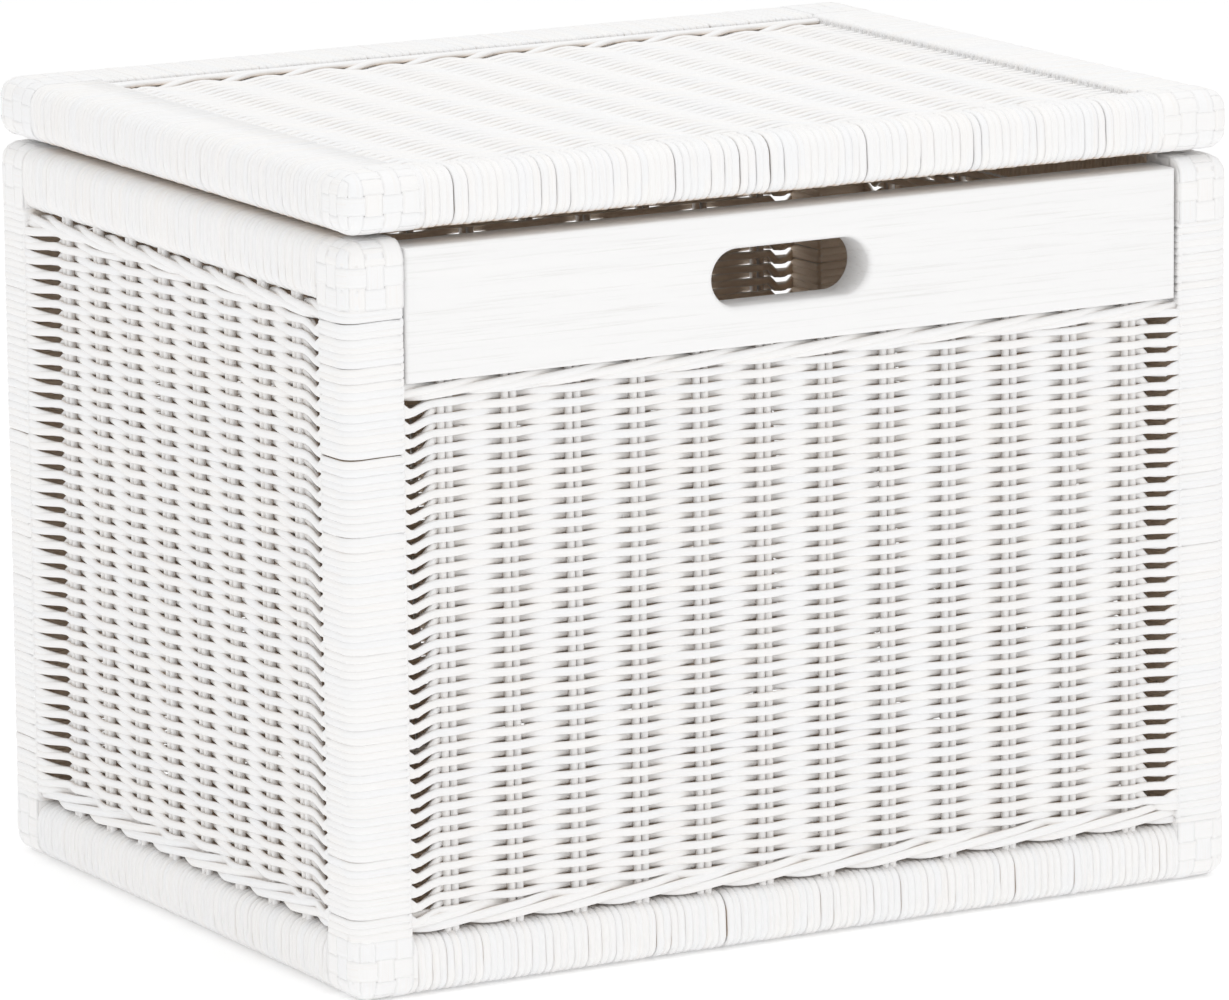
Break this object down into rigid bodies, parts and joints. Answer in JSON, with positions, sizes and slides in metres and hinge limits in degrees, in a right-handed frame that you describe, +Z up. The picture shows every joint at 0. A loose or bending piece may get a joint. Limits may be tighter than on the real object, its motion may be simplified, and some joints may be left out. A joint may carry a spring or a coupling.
{
  "type": "wicker storage trunk",
  "caption": "Rectangular wicker trunk with a wrapped frame, woven sides, a front board with a hand slot, and a hinged woven lid, for storing blankets or toys.",
  "frame": {"origin": "centre of the footprint, on the surface that the trunk stands on", "axes": "+X along the width, to the right seen from the front; +Y to the back, where the hinges are; +Z up"},
  "size_m": [0.6, 0.46, 0.484],
  "materials": {
    "painted_rattan": "satin white paint over round cane",
    "painted_board": "satin white paint over faint grain",
    "natural_rattan": "matt, thinly washed with white",
    "bare_wood": "sawn, unfinished",
    "hinge_steel": "zinc plated"
  },
  "bodies": {
    "trunk": {"post_front_left": "bare_wood", "post_wrap_front_left": "painted_rattan", "post_front_right": "bare_wood", "post_wrap_front_right": "painted_rattan", "post_back_left": "bare_wood", "post_wrap_back_left": "painted_rattan", "post_back_right": "bare_wood", "post_wrap_back_right": "painted_rattan", "bottom_rail_front": "bare_wood", "bottom_rail_wrap_front": "painted_rattan", "stakes_front": "natural_rattan", "weave_front": "painted_rattan", "twined_bands_front": "painted_rattan", "bottom_rail_back": "bare_wood", "bottom_rail_wrap_back": "painted_rattan", "stakes_back": "natural_rattan", "weave_back": "painted_rattan", "twined_bands_back": "painted_rattan", "top_rail_back": "bare_wood", "top_rail_wrap_back": "painted_rattan", "bottom_rail_left": "bare_wood", "bottom_rail_wrap_left": "painted_rattan", "stakes_left": "natural_rattan", "weave_left": "painted_rattan", "twined_bands_left": "painted_rattan", "top_rail_left": "bare_wood", "top_rail_wrap_left": "painted_rattan", "bottom_rail_right": "bare_wood", "bottom_rail_wrap_right": "painted_rattan", "stakes_right": "natural_rattan", "weave_right": "painted_rattan", "twined_bands_right": "painted_rattan", "top_rail_right": "bare_wood", "top_rail_wrap_right": "painted_rattan", "bottom_corner_caps": "painted_rattan", "top_corner_caps": "painted_rattan", "front_board": "painted_board", "floor_weave": "natural_rattan", "floor_stakes": "natural_rattan", "floor_battens": "bare_wood", "frame_dowels": "bare_wood", "hinge_leaves_trunk": "hinge_steel", "hinge_screws_trunk": "hinge_steel", "hinge_pins": "hinge_steel"},
    "lid": {"lid_rail_front": "bare_wood", "lid_rail_wrap_front": "painted_rattan", "lid_rail_back": "bare_wood", "lid_rail_wrap_back": "painted_rattan", "lid_rail_left": "bare_wood", "lid_rail_wrap_left": "painted_rattan", "lid_rail_right": "bare_wood", "lid_rail_wrap_right": "painted_rattan", "lid_corner_caps": "painted_rattan", "lid_weave": "painted_rattan", "lid_twined_bands": "painted_rattan", "lid_stakes": "natural_rattan", "lid_dowels": "bare_wood", "hinge_leaves_lid": "hinge_steel", "hinge_screws_lid": "hinge_steel"}
  },
  "joints": [
    {"name": "lid_hinge", "type": "hinge", "parent": "trunk", "child": "lid", "pos_m": [0, 0.224, 0.446], "axis": [-1, 0, 0], "range_deg": [0, 105]}
  ]
}
